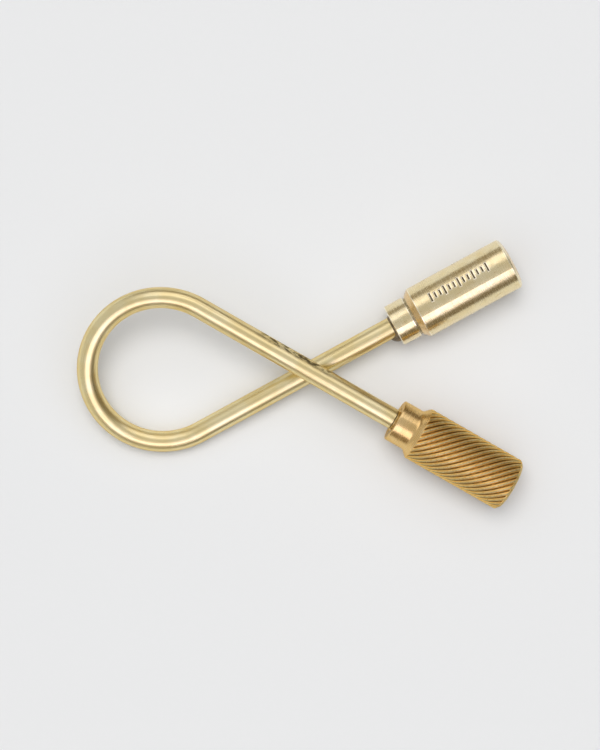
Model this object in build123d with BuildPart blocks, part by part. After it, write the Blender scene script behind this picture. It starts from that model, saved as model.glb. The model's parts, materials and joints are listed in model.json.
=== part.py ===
from build123d import *
from math import cos, pi, radians, sin, tan
import os

# Screw-cap loop key ring. A round brass rod makes one open turn and its two legs cross without
# touching. A plain cap is bonded on one end and a knurled cap screws onto the other.
# Millimetres. Caps, stud and small pieces are modelled standing on the cap's mouth, with the
# mouth at Z = 0 and the cap's axis along +Z, and are then carried to their leg of the rod.

# Bent rod
rod_diameter = 3.9
loop_radius = 14.05         # to the centre line
screw_leg_angle = 30.0      # how far the upper leg, with the screw cap, leans off the long axis
fixed_leg_angle = 28.65     # the same for the lower leg, with the fixed cap
screw_leg_length = 42.0     # from the loop to the mouth of the screw cap
fixed_leg_length = 41.75    # from the loop to the mouth of the fixed cap
crossing_gap = 1.0          # clear height between the two legs where they cross
rod_end_chamfer = 0.3

# Both caps
collar_diameter = 8.1
cap_length = 25.1
mouth_edge = 0.15           # broken edge round a cap's mouth

# Fixed cap
plain_diameter = 10.0
undercut_start = 3.75       # from the mouth
undercut_width = 0.45
undercut_depth = 0.3
shoulder_length = 1.1
end_chamfer = 0.35
end_flat_diameter = 5.0     # flat in the middle of the outer end
end_crown = 0.35            # how far that flat stands out past the chamfer
socket_depth = 7.3
rod_in_socket = 7.0
bond_gap = 0.1              # thickness of the bonding film round the rod

# Stamped marks on the fixed cap: a row of strokes, every third one long
mark_count = 13
mark_pitch = 0.98
mark_width = 0.26
mark_depth = 0.17
long_mark = 1.7
short_mark = 1.05
mark_start = 8.6            # from the mouth to the first stroke
mark_turn = -29.0           # round the barrel from its top

# Bead of bonding compound squeezed out round the rod
bead_radius = 2.6
bead_length = 1.1
bead_shift = 0.45           # off the rod's axis, towards the side where it dripped

# Screw cap
knurled_diameter = 10.4
cone_start = 3.95           # from the mouth
cone_length = 1.25
flute_start = 5.6           # from the mouth
flute_count = 23
flute_lean = 46.7           # from the cap's axis
flute_depth = 0.3
flute_width = 0.6
flute_root = 0.1
knurled_end_chamfer = 0.65
countersink_diameter = 5.1
lip_diameter = 4.6
groove_start = 0.6          # from the mouth to the friction ring's groove
groove_length = 1.1
groove_diameter = 5.6
hole_depth = 9.2

# Threaded stud on the rod and the thread inside the screw cap
thread_pitch = 0.6
stud_diameter = 3.5         # over the thread's crests
thread_depth = 0.3
crest_width = 0.1
root_width = 0.154
thread_play = 0.07          # radial
entry_play = 0.15           # radial, round the stud in front of the thread
thread_start = 4            # turns from the mouth to the first thread
stud_length = 9.0           # from the mouth to the stud's tip
stud_chamfer = 0.4
shoulder_gap = 0.35         # from the rod's full diameter to the mouth

# Friction ring
ring_section = 0.88
ring_bore = 3.58

# How the ring lies on the ground: on both barrels and the lower side of the loop
rest_roll = 13.422
rest_pitch = 0.364

rod_radius = rod_diameter / 2
stud_radius = stud_diameter / 2
half_angle = radians((screw_leg_angle + fixed_leg_angle) / 2)
loop_turn = 180 + screw_leg_angle + fixed_leg_angle
length_between_crossings = loop_radius * (radians(loop_turn) + 2 / tan(half_angle))
climb = (rod_diameter + crossing_gap) / length_between_crossings
loop_lead = climb * 2 * pi * loop_radius
loop_rise = loop_lead * loop_turn / 360
stretch = (1 + climb**2) ** 0.5


def seat(mouth, outward):
    """Where a cap sits: its mouth, its axis outward along Z and its top side along X."""
    top = Vector(0, 0, 1) - outward * outward.Z
    return Plane(mouth, x_dir=top, z_dir=outward).location


def helical_cut(radius, depth, mouth, root, lead, start, end, lefthand=False):
    """A groove wound round Z, mouth wide at radius and root wide at radius + depth."""
    overlap = 0.05 if depth > 0 else -0.05
    with BuildPart() as cut:
        with BuildLine(Plane.XY.offset(start)) as winding:
            Helix(lead, end - start, radius, lefthand=lefthand)
        across = Plane(winding.line @ 0, x_dir=(1, 0, 0), z_dir=winding.line % 0)
        with BuildSketch(across):
            with BuildLine():
                Polyline(
                    (-overlap, -mouth / 2),
                    (depth, -root / 2),
                    (depth, root / 2),
                    (-overlap, mouth / 2),
                    close=True,
                )
            make_face()
        sweep(path=winding.line, is_frenet=True)
    return cut.part


# Centre line of the rod: from inside the fixed cap, round the loop and up to the screw cap
loop = Pos(0, 0, -loop_rise / 2) * Rot(0, 0, fixed_leg_angle - 90) * Helix(
    loop_lead, loop_rise, loop_radius, lefthand=True
)
fixed_out = -(loop % 0)
screw_out = loop % 1
fixed_mouth = loop @ 0 + fixed_out * fixed_leg_length * stretch
screw_mouth = loop @ 1 + screw_out * screw_leg_length * stretch
fixed_seat = seat(fixed_mouth, fixed_out)
screw_seat = seat(screw_mouth, screw_out)
with BuildLine() as rod_line:
    Line(fixed_mouth + fixed_out * rod_in_socket, loop @ 0)
    add(loop)
    Line(loop @ 1, screw_mouth - screw_out * shoulder_gap)

# Threaded stud: the turned-down end of the rod
thread_first = thread_start * thread_pitch
outer_thread = helical_cut(
    stud_radius, -thread_depth, thread_pitch - crest_width, root_width,
    thread_pitch, thread_first, stud_length + thread_pitch,
)
with BuildPart() as stud:
    with BuildSketch(Plane.XZ):
        with BuildLine():
            Polyline(
                (0, -shoulder_gap),
                (rod_radius, -shoulder_gap),
                (stud_radius, -shoulder_gap + rod_radius - stud_radius),
                (stud_radius, stud_length - stud_chamfer),
                (stud_radius - stud_chamfer, stud_length),
                (0, stud_length),
                close=True,
            )
        make_face()
    revolve(axis=Axis.Z)
    add(outer_thread, mode=Mode.SUBTRACT)

# Loop rod: the bent rod with its stud
with BuildPart() as loop_rod:
    with BuildSketch(Plane(rod_line.line @ 0, z_dir=rod_line.line % 0)):
        Circle(rod_radius)
    sweep(path=rod_line.line)
    rims = loop_rod.edges().filter_by(GeomType.CIRCLE)
    chamfer(rims.sort_by_distance(rod_line.line @ 0)[0], rod_end_chamfer)
    add(screw_seat * stud.part)

# Fixed cap: collar, undercut, bevelled shoulder, plain barrel and crowned outer end
collar_radius = collar_diameter / 2
plain_radius = plain_diameter / 2
socket_radius = rod_radius + bond_gap
undercut_end = undercut_start + undercut_width
crown_foot = cap_length - end_crown
with BuildPart() as plain_cap:
    with BuildSketch(Plane.XZ):
        with BuildLine():
            Polyline(
                (end_flat_diameter / 2, cap_length),
                (0, cap_length),
                (0, socket_depth),
                (socket_radius, socket_depth),
                (socket_radius, 0),
                (collar_radius - mouth_edge, 0),
                (collar_radius, mouth_edge),
                (collar_radius, undercut_start),
                (collar_radius - undercut_depth, undercut_start),
                (collar_radius - undercut_depth, undercut_end),
                (collar_radius, undercut_end),
                (plain_radius, undercut_end + shoulder_length),
                (plain_radius, crown_foot - end_chamfer),
                (plain_radius - end_chamfer, crown_foot),
            )
            TangentArc(
                (end_flat_diameter / 2, cap_length),
                (plain_radius - end_chamfer, crown_foot),
                tangent=(1, 0),
            )
        make_face()
    revolve(axis=Axis.Z)
    mark_side = Vector(cos(radians(mark_turn)), sin(radians(mark_turn)), 0)
    mark_plane = Plane(mark_side * (plain_radius - mark_depth), x_dir=(0, 0, 1), z_dir=mark_side)
    with BuildSketch(mark_plane):
        for mark in range(mark_count):
            length = long_mark if mark % 3 == 0 else short_mark
            with Locations((mark_start + mark * mark_pitch, 0)):
                SlotOverall(length, mark_width, rotation=90)
    extrude(amount=1, mode=Mode.SUBTRACT)

# Locking compound: the film round the rod in the socket, and the bead squeezed out at the mouth
bead_axis = Axis((0, bead_shift, 0), (0, 0, 1))
with BuildPart() as locking_compound:
    with BuildSketch():
        Circle(socket_radius)
    extrude(amount=rod_in_socket)
    with BuildSketch(Plane.XZ.offset(-bead_shift)):
        with BuildLine():
            EllipticalCenterArc((0, 0), bead_radius, bead_length, start_angle=270, arc_size=90)
            Line((bead_radius, 0), (0, 0))
            Line((0, 0), (0, -bead_length))
        make_face()
    revolve(axis=bead_axis)
    with BuildSketch(Plane.XY.offset(-2 * bead_length)):
        Circle(rod_radius)
    extrude(amount=socket_depth + 2 * bead_length, mode=Mode.SUBTRACT)

# Screw cap: countersunk mouth, groove for the friction ring, tapped hole, cone and fluted barrel
knurled_radius = knurled_diameter / 2
lip_radius = lip_diameter / 2
countersink_depth = (countersink_diameter - lip_diameter) / 2
groove_end = groove_start + groove_length
tapped_radius = stud_radius - thread_depth + thread_play
entry_radius = stud_radius + entry_play
tapped_start = thread_first + thread_pitch
flute_lead = 2 * pi * knurled_radius / tan(radians(flute_lean))
inner_thread = helical_cut(
    tapped_radius, thread_depth, thread_pitch - crest_width, root_width,
    thread_pitch, tapped_start - thread_pitch / 2, hole_depth - thread_pitch / 2,
)
flute = helical_cut(
    knurled_radius, -flute_depth, flute_width, flute_root,
    flute_lead, flute_start, cap_length + 1, lefthand=True,
)
flutes = [Rot(0, 0, 360 * turn / flute_count) * flute for turn in range(flute_count)]
with BuildPart() as knurled_cap:
    with BuildSketch(Plane.XZ):
        with BuildLine():
            Polyline(
                (0, cap_length),
                (0, hole_depth),
                (tapped_radius, hole_depth),
                (tapped_radius, tapped_start),
                (entry_radius, tapped_start),
                (entry_radius, groove_end),
                (groove_diameter / 2, groove_end),
                (groove_diameter / 2, groove_start),
                (lip_radius, groove_start),
                (lip_radius, countersink_depth),
                (countersink_diameter / 2, 0),
                (collar_radius - mouth_edge, 0),
                (collar_radius, mouth_edge),
                (collar_radius, cone_start),
                (knurled_radius, cone_start + cone_length),
                (knurled_radius, cap_length - knurled_end_chamfer),
                (knurled_radius - knurled_end_chamfer, cap_length),
                close=True,
            )
        make_face()
    revolve(axis=Axis.Z)
    add(inner_thread, mode=Mode.SUBTRACT)
    add(flutes, mode=Mode.SUBTRACT)

# Friction ring: a rubber ring held in the screw cap's groove, gripping the stud
with BuildPart() as friction_ring:
    with BuildSketch(Plane.XZ):
        with Locations((ring_bore / 2 + ring_section / 2, groove_start + groove_length / 2)):
            Circle(ring_section / 2)
    revolve(axis=Axis.Z)

# Lay the finished ring down, with the middle of its foot print at the origin
fixed_pieces = (plain_cap, locking_compound)
screw_pieces = (knurled_cap, friction_ring)
for piece in fixed_pieces:
    piece.part.move(fixed_seat)
for piece in screw_pieces:
    piece.part.move(screw_seat)
pieces = (loop_rod, *fixed_pieces, *screw_pieces)
lean = Rot(rest_roll, rest_pitch, 0)
box = Compound([lean * piece.part for piece in pieces]).bounding_box()
lay_down = Pos(-box.center().X, -box.center().Y, -box.min.Z) * lean
for piece in pieces:
    piece.part.move(lay_down)

# Where the moving and mating features end up
for name, place in (("fixed cap", lay_down * fixed_seat), ("screw cap", lay_down * screw_seat)):
    outward = Plane(place).z_dir
    print(name, "mouth", place.position, "outward", outward)

os.makedirs("parts", exist_ok=True)
loop_rod.part.label = "loop_rod"
export_step(loop_rod.part, "parts/loop_rod.step")
plain_cap.part.label = "plain_cap"
export_step(plain_cap.part, "parts/plain_cap.step")
locking_compound.part.label = "locking_compound"
export_step(locking_compound.part, "parts/locking_compound.step")
knurled_cap.part.label = "knurled_cap"
export_step(knurled_cap.part, "parts/knurled_cap.step")
friction_ring.part.label = "friction_ring"
export_step(friction_ring.part, "parts/friction_ring.step")
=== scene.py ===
import json
from math import cos, pi, radians, sin, tan

import bpy
import numpy as np
from mathutils import Matrix, Vector


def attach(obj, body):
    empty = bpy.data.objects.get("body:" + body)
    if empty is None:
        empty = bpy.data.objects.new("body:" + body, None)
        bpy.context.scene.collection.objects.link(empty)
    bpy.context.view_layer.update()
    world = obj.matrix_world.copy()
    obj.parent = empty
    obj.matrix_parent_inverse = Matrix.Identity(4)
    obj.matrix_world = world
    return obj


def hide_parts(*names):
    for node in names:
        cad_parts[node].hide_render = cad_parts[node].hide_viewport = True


# Screw-cap loop key ring in brass, lying on a pale table and seen from straight above.
# Lengths in this script are millimetres unless a line says otherwise; MM turns them to metres.

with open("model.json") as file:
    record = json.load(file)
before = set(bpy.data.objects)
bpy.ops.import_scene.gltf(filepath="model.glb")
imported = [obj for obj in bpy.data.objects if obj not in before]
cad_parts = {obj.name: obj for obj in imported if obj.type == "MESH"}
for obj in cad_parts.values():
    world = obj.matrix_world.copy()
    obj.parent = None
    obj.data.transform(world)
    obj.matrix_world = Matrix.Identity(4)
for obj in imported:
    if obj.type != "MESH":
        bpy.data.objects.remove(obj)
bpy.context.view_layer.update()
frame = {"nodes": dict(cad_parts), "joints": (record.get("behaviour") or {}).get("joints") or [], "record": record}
nodes, record = frame["nodes"], frame["record"]
scene = bpy.context.scene
MM = 0.001

# The rod's line, as the CAD source gives it
rod_radius = 1.95
loop_radius = 14.05
screw_leg_angle = 30.0
fixed_leg_angle = 28.65
screw_leg_length = 42.0
crossing_gap = 1.0
rest_roll = 13.422
rest_pitch = 0.364

# Both caps, from the mouth at 0 along the axis
collar_radius = 4.05
cap_length = 25.1

# Outside of the knurled cap
knurled_radius = 5.2
mouth_edge = 0.15
cone_start, cone_end = 3.95, 5.1
end_chamfer = 0.65
flute_count = 23
flute_start = 5.6           # where the CAD's flutes have their full depth
flute_lean = radians(46.7)
flute_depth = 0.3
flute_share = 0.80          # of the pitch, the rest is crest
run_in_start, run_in_length = 4.75, 0.45

# Inside of the knurled cap: countersink, the friction ring's groove, entry and tapped hole
countersink_radius, countersink_depth = 2.55, 0.25
lip_radius = 2.3
groove_radius, groove_start, groove_end = 2.8, 0.6, 1.7
entry_radius = 1.9
tapped_radius = 1.52
tapped_start, hole_depth = 3.0, 9.2
thread_pitch = 0.6
thread_depth = 0.3
thread_half_mouth, thread_half_root = 0.25, 0.077
thread_step = 0.1           # between the mesh's rows in the tapped hole

# Plain cap: the undercut, the bevel, the outer end and the edges where pale bands are painted on as highlights
undercut_start, undercut_end = 3.66, 4.22
bevel_start, bevel_end = 4.2, 5.25
end_face_start, end_face_full = 24.72, 24.8
painted_highlight_edges = (3.68, 5.36, 24.4, 24.72)

# Compound round the rod at the plain cap's mouth: an even bead and the drip that it grows into
bead_radius, drip_reach = 2.28, 0.95
bead_length, drip_length = 0.45, 1.25
film_inner, film_outer = 1.92, 2.04
film_depth = 7.0

# Stamped strokes on the plain cap, every third one long
mark_turn = radians(-29.0)
mark_count = 13
mark_pitch = 0.98
mark_width = 0.26
long_mark = 1.7
short_mark = 1.05
mark_start = 8.6

# Tarnish on the upper leg, measured along the rod from the lower corner of the loop
tarnish_start = 71.0
tarnish_end = 86.0

# Where the ring's own frame lies in the room
half_angle = radians((screw_leg_angle + fixed_leg_angle) / 2)
loop_turn = radians(180 + screw_leg_angle + fixed_leg_angle)
climb = (2 * rod_radius + crossing_gap) / (loop_radius * (loop_turn + 2 / tan(half_angle)))
stretch = (1 + climb**2) ** 0.5
loop_rise = climb * loop_radius * loop_turn
start_angle = radians(fixed_leg_angle) - pi / 2
lean = Matrix.Rotation(radians(rest_pitch), 3, "Y") @ Matrix.Rotation(radians(rest_roll), 3, "X")


def along(angle):
    """Direction of the rod, towards the screw cap, at an angle of the loop."""
    return Vector((sin(angle), -cos(angle), climb)) / stretch


def on_loop(angle):
    """Point of the rod's centre line at an angle of the loop."""
    height = climb * loop_radius * (start_angle - angle) - loop_rise / 2
    return Vector((loop_radius * cos(angle), loop_radius * sin(angle), height))


end_angle = start_angle - loop_turn
screw_joint = next(j for j in frame["joints"] if j["name"] == "cap_turn")
plain_mount = next(m for m in record["mounts"] if m["name"] == "plain_end")
screw_axis = Vector(screw_joint["axis"])
screw_mouth = Vector(screw_joint["pos_m"]) / MM
fixed_axis = Vector(plain_mount["axis"])
fixed_mouth = Vector(plain_mount["pos_m"]) / MM - fixed_axis * cap_length
screw_mouth_own = on_loop(end_angle) + along(end_angle) * screw_leg_length * stretch
ring_origin = screw_mouth - lean @ screw_mouth_own


def points(obj):
    co = np.empty(len(obj.data.vertices) * 3, np.float32)
    obj.data.vertices.foreach_get("co", co)
    return co.reshape(-1, 3).astype(float) / MM


def store(obj, values):
    """Keeps each vertex's place in its piece's own directions, in millimetres, for the finish."""
    layer = obj.data.attributes.new("place", "FLOAT_VECTOR", "POINT")
    layer.data.foreach_set("vector", np.asarray(values, np.float32).ravel())


def lean_frame(axis):
    """A cap's own directions: to its top side, sideways and along its axis."""
    axis_own = lean.inverted() @ axis
    top = (lean @ (Vector((0, 0, 1)) - axis_own * axis_own.z)).normalized()
    return np.array([top, axis.cross(top), axis])


def cap_place(co, mouth, axis):
    """Places standing on a cap's mouth: X to its top side, Z along its axis."""
    return (co - np.array(mouth)) @ lean_frame(axis).T


def rod_place(co):
    """Places as if the rod were straightened: X away from the loop's middle, Y up, Z along it."""
    own = (co - np.array(ring_origin)) @ np.array(lean)
    x, y, z = own.T
    angle = np.arctan2(y, x)
    angle = np.where(angle > 0, angle - 2 * pi, angle)
    length = loop_radius * (start_angle - angle)
    out = np.stack((np.hypot(x, y) - loop_radius, (z + loop_rise / 2 - climb * length), length), 1)
    upper = z + 0.1 * y > 0
    for corner, is_leg, sign in ((start_angle, ~upper, -1), (end_angle, upper, 1)):
        origin, ahead = on_loop(corner), along(corner)
        away = Vector((cos(corner), sin(corner), 0))
        rise = away.cross(ahead) * -1
        if rise.z < 0:
            rise = -rise
        rel = own - np.array(origin)
        reach = rel @ np.array(ahead)
        leg = is_leg & (reach * sign > 0)
        base = loop_radius * (start_angle - corner)
        place = np.stack((rel @ np.array(away), rel @ np.array(rise), base + reach), 1)
        out[leg] = place[leg]
    return out


def ring_faces(count, turns, closed):
    """Faces between rings of vertices, and from the last ring back to the first if closed."""
    return [
        (
            ring * turns + turn,
            ring * turns + (turn + 1) % turns,
            (ring + 1) % count * turns + (turn + 1) % turns,
            (ring + 1) % count * turns + turn,
        )
        for ring in range(count if closed else count - 1)
        for turn in range(turns)
    ]


def bead_mesh():
    """The dark compound round the rod at the fixed cap's mouth: thin above, a drip below."""
    turns, steps, rng = 96, 14, np.random.default_rng(5)
    angle = np.linspace(0, 2 * pi, turns, endpoint=False)
    wave = sum(
        np.sin(k * angle + rng.uniform(0, 2 * pi)) * rng.uniform(0.3, 1) / k for k in (3, 5, 8, 13)
    )
    below = np.exp(-(((angle - pi / 2 - 0.15) / 0.75) ** 2))
    width = bead_radius + drip_reach * below + 0.07 * wave
    length = bead_length + drip_length * below**1.5 + 0.10 * wave
    inner = rod_radius - 0.03
    rings = []
    for step in range(steps):
        share = step / (steps - 1)
        swell = 1 - (1 - share) ** 1.7
        rings.append((inner + (width - inner) * swell, -length * (1 - share**1.5)))
    ones = np.ones(turns)
    for radius, height in ((film_outer, 0.04), (film_outer, film_depth), (film_inner, film_depth)):
        rings.append((radius * ones, height * ones))
    across, side, ahead = lean_frame(fixed_axis)
    verts = []
    for radius, height in rings:
        flat = np.outer(radius * np.cos(angle), across) + np.outer(radius * np.sin(angle), side)
        verts.append(flat + np.outer(height, ahead) + np.array(fixed_mouth))
    faces = ring_faces(len(rings), turns, closed=True)
    mesh = bpy.data.meshes.new("compound_bead")
    mesh.from_pydata((np.concatenate(verts) * MM).tolist(), [], faces)
    mesh.shade_smooth()
    obj = bpy.data.objects.new("compound_bead", mesh)
    scene.collection.objects.link(obj)
    return obj


def rounded(corners, steps=4, longest_step=0.35):
    """A profile of (radius, height, softness) corners, each rounded within its softness."""
    line = []
    for index, (radius, height, soft) in enumerate(corners):
        point = np.array((radius, height))
        if soft == 0 or index in (0, len(corners) - 1):
            line.append(point)
            continue
        before = np.array(corners[index - 1][:2]) - point
        after = np.array(corners[index + 1][:2]) - point
        start = point + before / np.hypot(*before) * soft
        end = point + after / np.hypot(*after) * soft
        for share in np.linspace(0, 1, steps):
            line.append((1 - share) ** 2 * start + 2 * share * (1 - share) * point + share**2 * end)
    full = [line[0]]
    for point in line[1:]:
        parts = max(1, int(np.ceil(abs(point[1] - full[-1][1]) / longest_step)))
        full += [full[-1] + (point - full[-1]) * (k + 1) / parts for k in range(parts)]
    return full


def groove(share):
    """Depth of a flute, 0 to 1, by the place across it: 0 at its middle and 0.5 at a crest."""
    x = np.clip(np.abs(share) / (flute_share / 2), 0, 1)
    return 0.6 * (1 - x) + 0.4 * (0.5 + 0.5 * np.cos(pi * x))


def knurled_mesh():
    """The screw cap: mesh columns follow the flutes outside and stand straight in the bore."""
    per_flute = 16
    turns = flute_count * per_flute
    column = np.arange(turns)
    across = (column + per_flute / 2) % per_flute / per_flute - 0.5
    lead = 2 * pi * knurled_radius / tan(flute_lean)
    top, end = knurled_radius, cap_length
    outside = rounded(
        [
            (countersink_radius, 0, 0),
            (collar_radius - mouth_edge, 0, 0.05),
            (collar_radius, mouth_edge, 0.05),
            (collar_radius, cone_start, 0.30),
            (top, cone_end, 0.20),
            (top, end - end_chamfer, 0.12),
            (top - end_chamfer, end, 0.12),
            (2.5, end, 0),
            (0.8, end, 0),
        ]
    )
    inside = [(0.6, hole_depth), (tapped_radius, hole_depth)]
    for height in np.arange(hole_depth - thread_step, tapped_start, -thread_step):
        inside.append((tapped_radius, height))
    inside += [
        (entry_radius, tapped_start),
        (entry_radius, groove_end),
        (groove_radius, groove_end),
        (groove_radius, groove_start),
        (lip_radius, groove_start),
        (lip_radius, countersink_depth),
    ]
    rows = []
    for radius, height in outside:
        angle = 2 * pi * (column / turns - (height - flute_start) / lead)
        run_in = np.clip((height - run_in_start) / run_in_length, 0, 1)
        depth = flute_depth * groove(across) * run_in
        rows.append((np.minimum(radius, top - depth), angle, height))
    for radius, height in inside:
        angle = 2 * pi * (column / turns + flute_start / lead)
        turn = (height - tapped_start + thread_pitch / 2) / thread_pitch - angle / (2 * pi)
        off = np.abs((turn + 0.5) % 1 - 0.5) * thread_pitch
        flank = (thread_half_mouth - off) / (thread_half_mouth - thread_half_root)
        tapped = radius == tapped_radius and tapped_start < height < hole_depth - thread_step / 2
        rows.append((radius + thread_depth * np.clip(flank, 0, 1) * tapped, angle, height))
    rows = rows[len(outside) :] + rows[: len(outside)]
    top_side, side, ahead = lean_frame(screw_axis)
    verts = [
        np.outer(radius * np.cos(angle), top_side)
        + np.outer(radius * np.sin(angle), side)
        + ahead * height
        for radius, angle, height in rows
    ]
    verts += [[ahead * hole_depth], [ahead * end]]
    verts = np.concatenate(verts) + np.array(screw_mouth)
    faces = ring_faces(len(rows), turns, closed=False)
    bottom, tip, last = len(verts) - 2, len(verts) - 1, (len(rows) - 1) * turns
    faces += [(bottom, (b + 1) % turns, b) for b in range(turns)]
    faces += [(tip, last + b, last + (b + 1) % turns) for b in range(turns)]
    mesh = bpy.data.meshes.new("screw_cap_knurled")
    mesh.from_pydata((verts * MM).tolist(), [], faces)
    mesh.shade_smooth()
    mesh.set_sharp_from_angle(angle=radians(62))
    obj = bpy.data.objects.new("screw_cap_knurled", mesh)
    scene.collection.objects.link(obj)
    return obj


knurled = knurled_mesh()
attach(knurled, "screw_cap")
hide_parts("knurled_cap")
bead = bead_mesh()
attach(bead, "ring")
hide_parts("locking_compound")
store(nodes["loop_rod"], rod_place(points(nodes["loop_rod"])))
for piece, mouth, axis in (
    (nodes["plain_cap"], fixed_mouth, fixed_axis),
    (bead, fixed_mouth, fixed_axis),
    (knurled, screw_mouth, screw_axis),
    (nodes["friction_ring"], screw_mouth, screw_axis),
):
    store(piece, cap_place(points(piece), mouth, axis))


class Nodes:
    """Short names for the nodes used most. A value can be a number, a colour or a socket."""

    def __init__(self, tree):
        self.tree = tree

    def node(self, kind, **fields):
        made = self.tree.nodes.new(kind)
        for field, value in fields.items():
            setattr(made, field, value)
        return made

    def put(self, value, socket):
        if isinstance(value, bpy.types.NodeSocket):
            self.tree.links.new(value, socket)
        elif isinstance(value, (tuple, list)) and len(value) == 3 and len(socket.default_value) == 4:
            socket.default_value = (*value, 1)
        else:
            socket.default_value = value

    def math(self, operation, a, b=None, c=None):
        made = self.node("ShaderNodeMath", operation=operation)
        for value, socket in zip((a, b, c), made.inputs):
            if value is not None:
                self.put(value, socket)
        return made.outputs[0]

    def split(self, vector):
        made = self.node("ShaderNodeSeparateXYZ")
        self.put(vector, made.inputs[0])
        return made.outputs

    def stretched(self, vector, scale, offset=(0, 0, 0)):
        made = self.node("ShaderNodeMapping")
        self.put(vector, made.inputs["Vector"])
        made.inputs["Scale"].default_value = scale
        made.inputs["Location"].default_value = offset
        return made.outputs[0]

    def noise(self, vector, scale=1.0, detail=3.0, roughness=0.55, distortion=0.0):
        made = self.node("ShaderNodeTexNoise")
        self.put(vector, made.inputs["Vector"])
        made.inputs["Scale"].default_value = scale
        made.inputs["Detail"].default_value = detail
        made.inputs["Roughness"].default_value = roughness
        made.inputs["Distortion"].default_value = distortion
        return made.outputs["Fac"]

    def ease(self, value, low, high, to_low=0.0, to_high=1.0):
        """Value from low to high, turned smoothly into to_low to to_high."""
        made = self.node("ShaderNodeMapRange", interpolation_type="SMOOTHSTEP")
        ends = (low, high, to_low, to_high) if low < high else (high, low, to_high, to_low)
        for number, socket in zip((value, *ends), made.inputs):
            self.put(number, socket)
        return made.outputs[0]

    def between(self, value, low, high, edge):
        """1 from low to high, 0 elsewhere, over an edge."""
        rise = self.ease(value, low - edge, low + edge)
        fall = self.ease(value, high - edge, high + edge, 1.0, 0.0)
        return self.math("MULTIPLY", rise, fall)

    def mix(self, share, a, b, blend="MIX"):
        made = self.node("ShaderNodeMix", data_type="RGBA", blend_type=blend)
        for value, socket in zip((share, a, b), (made.inputs[0], made.inputs[6], made.inputs[7])):
            self.put(value, socket)
        return made.outputs[2]

    def bump(self, height, distance, strength=1.0, below=None):
        """Height in millimetres of distance; below is the normal that it is added to."""
        made = self.node("ShaderNodeBump")
        made.inputs["Strength"].default_value = strength
        made.inputs["Distance"].default_value = distance * MM
        self.put(height, made.inputs["Height"])
        if below is not None:
            self.put(below, made.inputs["Normal"])
        return made.outputs[0]


class Finish(Nodes):
    """A material of one principled shader."""

    def __init__(self, name):
        self.material = bpy.data.materials.new(name)
        self.material.use_nodes = True
        super().__init__(self.material.node_tree)
        self.shader = self.tree.nodes["Principled BSDF"]

    def place(self):
        return self.node("ShaderNodeAttribute", attribute_name="place").outputs["Vector"]

    def finish(self, color, roughness, normal=None, metallic=1.0, edge=(1, 1, 1)):
        """Sets the shader; edge is the share of light that a metal keeps at a grazing angle."""
        self.put(color, self.shader.inputs["Base Color"])
        self.put(roughness, self.shader.inputs["Roughness"])
        self.shader.inputs["Metallic"].default_value = metallic
        self.shader.inputs["Specular Tint"].default_value = (*edge, 1)
        if normal is not None:
            self.put(normal, self.shader.inputs["Normal"])
        return self.material


def rod_finish():
    """Drawn brass: lines along the rod, cloudy colour, and tarnish beside the crossing."""
    f = Finish("rod_drawn_brass")
    place = f.place()
    x, y, z = f.split(place)
    lines = f.noise(f.stretched(place, (3.2, 3.2, 0.05)), 1.0, 4, 0.6)
    fine = f.noise(f.stretched(place, (11, 11, 0.12)), 1.0, 2, 0.5)
    cloud = f.noise(place, 0.22, 3, 0.6)
    color = f.mix(f.ease(cloud, 0.35, 0.68), (0.875, 0.725, 0.365), (0.91, 0.80, 0.475))
    color = f.mix(f.ease(lines, 0.54, 0.74, 0.0, 0.6), color, (0.62, 0.48, 0.20))
    blotch = f.noise(f.stretched(place, (1.5, 1.5, 0.55)), 1.0, 5, 0.65)
    beside = f.math("MULTIPLY", f.between(z, tarnish_start, tarnish_end, 2.0), f.ease(x, 1.05, 1.6))
    beside = f.math("MULTIPLY", beside, f.between(y, -0.8, 1.8, 0.3))
    stain = f.math("MULTIPLY", beside, f.ease(blotch, 0.43, 0.58, 0.0, 0.9))
    color = f.mix(stain, color, (0.10, 0.075, 0.04))
    grain = f.math("MULTIPLY", f.math("SUBTRACT", fine, 0.5), 0.12)
    rough = f.math("ADD", f.ease(lines, 0.35, 0.7, 0.28, 0.38), grain)
    rough = f.math("ADD", rough, f.math("MULTIPLY", stain, 0.25))
    lift = f.math("ADD", lines, f.math("MULTIPLY", fine, 0.5))
    lift = f.math("SUBTRACT", lift, stain)
    return f.finish(color, rough, f.bump(lift, 0.016), edge=(0.80, 0.62, 0.36))


def radius_of(f, x, y):
    """Distance from a cap's axis."""
    return f.math("SQRT", f.math("ADD", f.math("MULTIPLY", x, x), f.math("MULTIPLY", y, y)))


def marks_distance(f, x, y, z):
    """How far a place on the plain barrel is outside the nearest stamped stroke."""
    turn_cos, turn_sin = cos(mark_turn), sin(mark_turn)
    across = f.math("ADD", f.math("MULTIPLY", x, -turn_sin), f.math("MULTIPLY", y, turn_cos))
    facing = f.math("ADD", f.math("MULTIPLY", x, turn_cos), f.math("MULTIPLY", y, turn_sin))
    step = f.math("DIVIDE", f.math("SUBTRACT", z, mark_start), mark_pitch)
    nearest = f.math("MINIMUM", f.math("MAXIMUM", f.math("ROUND", step), 0.0), mark_count - 1.0)
    is_long = f.math("LESS_THAN", f.math("MODULO", nearest, 3.0), 0.5)
    reach = f.math("ADD", f.math("MULTIPLY", is_long, (long_mark - short_mark) / 2), short_mark / 2)
    beyond = f.math("SUBTRACT", f.math("ABSOLUTE", across), reach)
    beside = f.math("MULTIPLY", f.math("ABSOLUTE", f.math("SUBTRACT", step, nearest)), mark_pitch)
    beside = f.math("SUBTRACT", beside, mark_width / 2)
    away = f.math("MAXIMUM", beyond, beside)
    return f.math("ADD", away, f.ease(facing, 4.0, 3.0, 0.0, 5.0))


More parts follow.
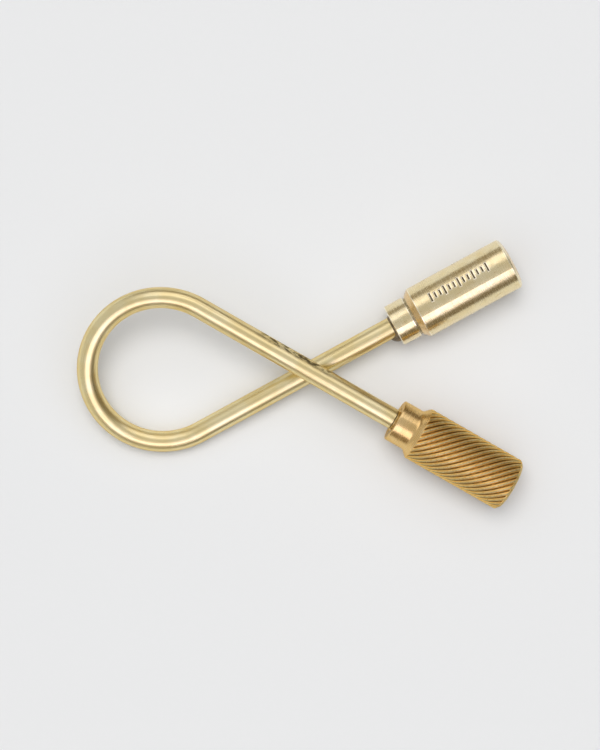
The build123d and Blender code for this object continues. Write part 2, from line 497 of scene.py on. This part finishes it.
def plain_finish():
    """Turned brass: fine rings, dark residue in the stamped marks and painted shade in the undercut."""
    f = Finish("plain_turned_brass")
    place = f.place()
    x, y, z = f.split(place)
    rings = f.noise(f.stretched(place, (0.12, 0.12, 6.0)), 1.0, 4, 0.65)
    hair = f.noise(f.stretched(place, (2.4, 2.4, 0.5)), 1.0, 4, 0.6)
    cloud = f.noise(place, 0.3, 3, 0.6)
    grit = f.noise(place, 3.0, 4, 0.7)
    color = f.mix(f.ease(cloud, 0.35, 0.68), (0.87, 0.72, 0.41), (0.90, 0.78, 0.50))
    color = f.mix(f.ease(hair, 0.52, 0.72, 0.0, 0.5), color, (0.64, 0.49, 0.24))
    # The bevel and the end face are painted a darker tan: painted shade, for these faces turning away from the
    # light
    bevel = f.between(z, bevel_start, bevel_end, 0.08)
    end = f.ease(z, end_face_start, end_face_full)
    color = f.mix(f.math("MULTIPLY", f.math("MAXIMUM", bevel, end), 0.6), color, (0.74, 0.48, 0.22))
    # Pale bands at the mouth and along the other edges: painted highlights, where rounded edges would catch the
    # light
    edge_highlight = f.ease(z, 0.24, 0.12)
    for edge in painted_highlight_edges:
        edge_highlight = f.math("MAXIMUM", edge_highlight, f.between(z, edge - 0.07, edge + 0.07, 0.05))
    color = f.mix(f.math("MULTIPLY", edge_highlight, 0.85), color, (1.0, 0.93, 0.74))
    away = marks_distance(f, x, y, z)
    residue_and_shade = f.math("MULTIPLY", f.ease(away, 0.03, -0.03), f.ease(grit, 0.3, 0.5, 0.6, 1.0))
    rim = f.math("MULTIPLY", f.ease(away, 0.0, 0.05), f.ease(away, 0.22, 0.08))
    color = f.mix(f.math("MULTIPLY", rim, 0.75), color, (0.97, 0.92, 0.76))
    # The undercut gets darker further in, broken up by noise: painted shade in the recess
    depth = f.math("SUBTRACT", collar_radius, radius_of(f, x, y))
    undercut_shade = f.math("MULTIPLY", f.between(z, undercut_start, undercut_end, 0.04), f.ease(depth, 0.02, 0.16))
    undercut_shade = f.math("MULTIPLY", undercut_shade, f.ease(grit, 0.35, 0.6, 0.2, 0.75))
    # One mask for the dark residue in the marks and the painted shade in the undercut
    residue_and_shade = f.math("MAXIMUM", residue_and_shade, undercut_shade)
    color = f.mix(residue_and_shade, color, (0.16, 0.12, 0.055))
    rough = f.math("ADD", f.ease(rings, 0.35, 0.65, 0.18, 0.27), f.ease(hair, 0.3, 0.7, -0.02, 0.05))
    rough = f.math("ADD", rough, f.math("MULTIPLY", residue_and_shade, 0.3))
    lift = f.math("ADD", rings, f.math("MULTIPLY", hair, 0.6))
    raised = f.bump(f.math("SUBTRACT", rim, residue_and_shade), 0.03)
    return f.finish(color, rough, f.bump(lift, 0.008, 1.0, raised))


def knurled_finish():
    """Knurled brass: golden barrel whose flutes are coloured by depth, with painted shade at the groove roots,
    flanks painted a brighter orange for light bounced in the grooves, olive crests and dark specks.
    """
    f = Finish("knurled_brass")
    place = f.place()
    x, y, z = f.split(place)
    radius = radius_of(f, x, y)
    chamfer = f.math("MAXIMUM", f.math("SUBTRACT", z, cap_length - end_chamfer), 0.0)
    surface = f.math("SUBTRACT", knurled_radius, chamfer)
    depth = f.math("SUBTRACT", surface, radius)
    barrel = f.math("MULTIPLY", f.ease(z, 4.9, 5.2), f.ease(z, 25.06, 24.98))
    pits = f.noise(place, 2.6, 4, 0.6)
    grit = f.noise(place, 1.3, 4, 0.7)
    rings = f.noise(f.stretched(place, (0.12, 0.12, 5.0)), 1.0, 4, 0.65)
    cloud = f.noise(place, 0.35, 3, 0.6)
    smooth = f.mix(f.ease(cloud, 0.35, 0.68), (0.80, 0.54, 0.22), (0.84, 0.60, 0.28))
    # The flanks are painted a brighter orange than the crests: painted light, bounced within the grooves
    flank = f.mix(f.ease(grit, 0.35, 0.65), (0.92, 0.53, 0.13), (1.0, 0.70, 0.25))
    crest = f.mix(f.ease(pits, 0.35, 0.65), (0.54, 0.41, 0.17), (0.70, 0.55, 0.27))
    groove = f.mix(f.ease(depth, 0.015, 0.07), crest, flank)
    # The groove roots are darkened by depth, broken up by noise: painted shade
    root_shade = f.math("MULTIPLY", f.ease(depth, 0.16, 0.24), f.ease(grit, 0.3, 0.55, 0.55, 1.0))
    groove = f.mix(root_shade, groove, (0.20, 0.105, 0.03))
    speck = f.math("MULTIPLY", f.ease(pits, 0.66, 0.72), 0.7)
    groove = f.mix(speck, groove, (0.12, 0.08, 0.03))
    color = f.mix(barrel, smooth, groove)
    rough = f.math("ADD", f.ease(rings, 0.3, 0.7, 0.20, 0.30), f.math("MULTIPLY", barrel, 0.16))
    bumps = f.math("ADD", f.math("MULTIPLY", pits, barrel), f.math("MULTIPLY", rings, 0.4))
    return f.finish(color, rough, f.bump(bumps, 0.03), edge=(0.86, 0.74, 0.50))


def compound_finish():
    """Dark, lumpy compound."""
    f = Finish("dark_locking_compound")
    place = f.place()
    lumps = f.noise(place, 1.6, 4, 0.6)
    color = f.mix(f.ease(lumps, 0.35, 0.7), (0.085, 0.060, 0.028), (0.27, 0.19, 0.085))
    rough = f.ease(lumps, 0.3, 0.7, 0.30, 0.55)
    return f.finish(color, rough, f.bump(lumps, 0.12), metallic=0.0)


def rubber_finish():
    """Black rubber with a fine grain."""
    f = Finish("black_rubber")
    grain = f.noise(f.place(), 6.0, 3, 0.6)
    color = f.mix(grain, (0.012, 0.011, 0.010), (0.035, 0.032, 0.028))
    rough = f.ease(grain, 0.3, 0.7, 0.5, 0.75)
    return f.finish(color, rough, f.bump(grain, 0.02), metallic=0.0)


def dress(obj, material):
    for slot in obj.material_slots:
        slot.material = material


dress(nodes["loop_rod"], rod_finish())
dress(nodes["plain_cap"], plain_finish())
knurled.data.materials.append(knurled_finish())
bead.data.materials.append(compound_finish())
dress(nodes["friction_ring"], rubber_finish())

# Table, a pale sheet
half = 1500 * MM
floor_mesh = bpy.data.meshes.new("table")
floor_mesh.from_pydata(
    [(-half, -half, 0), (half, -half, 0), (half, half, 0), (-half, half, 0)], [], [(0, 1, 2, 3)]
)
table = bpy.data.objects.new("table", floor_mesh)
scene.collection.objects.link(table)
paper = Finish("pale_paper")
texture = paper.node("ShaderNodeTexCoord").outputs["Object"]
fibre = paper.noise(texture, 900, 3, 0.6)
paper_color = paper.mix(fibre, (0.795, 0.795, 0.797), (0.805, 0.805, 0.807))
table.data.materials.append(paper.finish(paper_color, 0.9, metallic=0.0))
paper.shader.inputs["Specular IOR Level"].default_value = 0.0


# Studio: two soft boxes and a pale ceiling that the brass mirrors, and two soft suns for the table
def studio(world):
    """What the brass mirrors besides the soft boxes, with a plain backdrop for the camera."""
    world.use_nodes = True
    f = Nodes(world.node_tree)
    background = f.tree.nodes["Background"]
    output = f.tree.nodes["World Output"]
    x, y, z = f.split(f.node("ShaderNodeTexCoord").outputs["Generated"])
    lengthwise = f.math("MULTIPLY", f.math("ARCTAN2", f.math("MULTIPLY", y, -1.0), z), 180 / pi)
    sideways = f.math("MULTIPLY", f.math("ARCSINE", x), 180 / pi)
    ceiling = f.math("MULTIPLY", f.between(lengthwise, -62, 58, 9), f.ease(sideways, 24, 50, 0.56, 0.18))
    left = f.ease(sideways, -16, -42, 0.0, 0.60)
    light = f.math("MAXIMUM", f.math("MAXIMUM", ceiling, left), f.ease(sideways, 5, 35, 0.27, 0.18))
    tint = f.mix(f.ease(light, 0.24, 0.56), (1.0, 0.84, 0.60), (1.0, 0.99, 0.97))
    f.put(tint, background.inputs["Color"])
    f.put(light, background.inputs["Strength"])
    backdrop = f.node("ShaderNodeBackground")
    backdrop.inputs["Color"].default_value = (0.82, 0.82, 0.82, 1)
    choose = f.node("ShaderNodeMixShader")
    f.put(f.node("ShaderNodeLightPath").outputs["Is Camera Ray"], choose.inputs[0])
    f.put(background.outputs[0], choose.inputs[1])
    f.put(backdrop.outputs[0], choose.inputs[2])
    f.put(choose.outputs[0], output.inputs["Surface"])
    world.cycles_visibility.diffuse = False


world = bpy.data.worlds.new("studio")
scene.world = world
studio(world)


def soft_box(name, lean, middle, width, length, radiance):
    """A soft box that the brass mirrors: leaned from overhead towards the front, in degrees."""
    lamp = bpy.data.lights.new(name, "AREA")
    lamp.shape = "RECTANGLE"
    lamp.size, lamp.size_y = width * MM, length * MM
    strength = max(radiance)
    lamp.color = [channel / strength for channel in radiance]
    lamp.energy = strength * pi * lamp.size * lamp.size_y
    box = bpy.data.objects.new(name, lamp)
    turn = radians(lean)
    box.location = Vector((middle, -box_distance * sin(turn), box_distance * cos(turn))) * MM
    box.rotation_euler = (turn, 0, 0)
    box.visible_camera = False
    box.visible_diffuse = False
    scene.collection.objects.link(box)


box_distance = 400
soft_box("near_box", 36, 12, 376, 225, (1.32, 1.20, 1.56))
soft_box("far_box", -42, 50, 450, 275, (0.80, 0.78, 0.86))


def soft_sun(name, strength, spread, toward_left, toward_back, color, shadow=True):
    """A soft light from straight above, leaned by these angles in degrees."""
    lamp = bpy.data.lights.new(name, "SUN")
    lamp.energy = strength
    lamp.color = color
    lamp.angle = radians(spread)
    lamp.use_shadow = shadow
    obj = bpy.data.objects.new(name, lamp)
    obj.rotation_euler = (-radians(toward_back), -radians(toward_left), 0)
    obj.visible_glossy = False
    scene.collection.objects.link(obj)


soft_sun("key", 1.48, 40, 5, 15, (1.0, 0.985, 0.96))
soft_sun("fill", 1.87, 120, 0, 0, (0.957, 0.975, 1.0), shadow=False)

# Camera straight above the ring. The view's length is measured at the height of the loop's middle.
loop_height = 6.264 * MM
camera_height = 420 * MM
view_length = 140.25 * MM
camera_data = bpy.data.cameras.new("camera")
camera_data.sensor_width = 36
camera_data.lens = camera_data.sensor_width * camera_height / view_length
camera = bpy.data.objects.new("camera", camera_data)
camera.location = (0, -0.12 * MM, loop_height + camera_height)
scene.collection.objects.link(camera)
scene.camera = camera
scene.view_settings.view_transform = "Standard"
scene.view_settings.look = "None"
